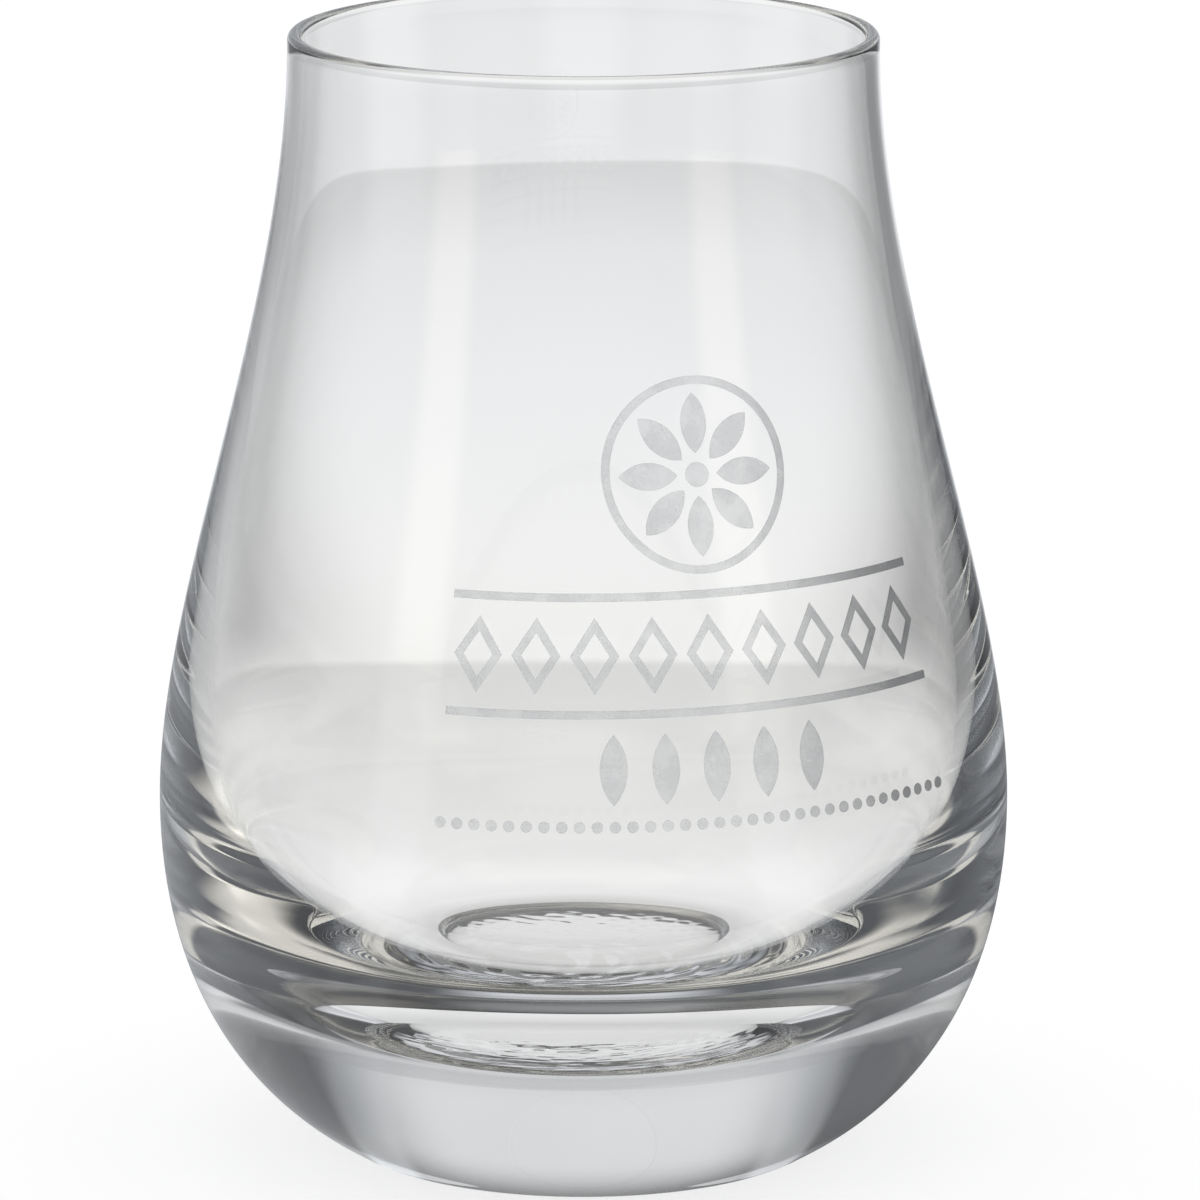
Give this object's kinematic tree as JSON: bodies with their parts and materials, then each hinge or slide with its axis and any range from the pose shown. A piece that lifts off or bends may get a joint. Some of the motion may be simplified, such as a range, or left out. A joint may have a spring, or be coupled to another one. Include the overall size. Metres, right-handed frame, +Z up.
{
  "type": "whisky nosing glass",
  "caption": "Stemless tulip-shaped whisky nosing glass with a narrow mouth, full belly, thick base and a satin print on its wall.",
  "frame": {"origin": "on the axis, at the plane of the table that the glass stands on", "axes": "+Z up along the glass's axis, from the foot to the mouth; -Y is the front, and the print's middle is 18 degrees to the right of it"},
  "size_m": [0.0758, 0.0758, 0.1],
  "materials": {
    "clear_glass": "clear, polished, fire-polished at the rim",
    "satin_print": "thin fired enamel, satin grey, lets some light through"
  },
  "bodies": {
    "root": {"glass_body": "clear_glass", "rosette_print": "satin_print", "lozenge_band_print": "satin_print", "band_rules_print": "satin_print", "grain_row_print": "satin_print", "dot_line_print": "satin_print"}
  },
  "joints": []
}
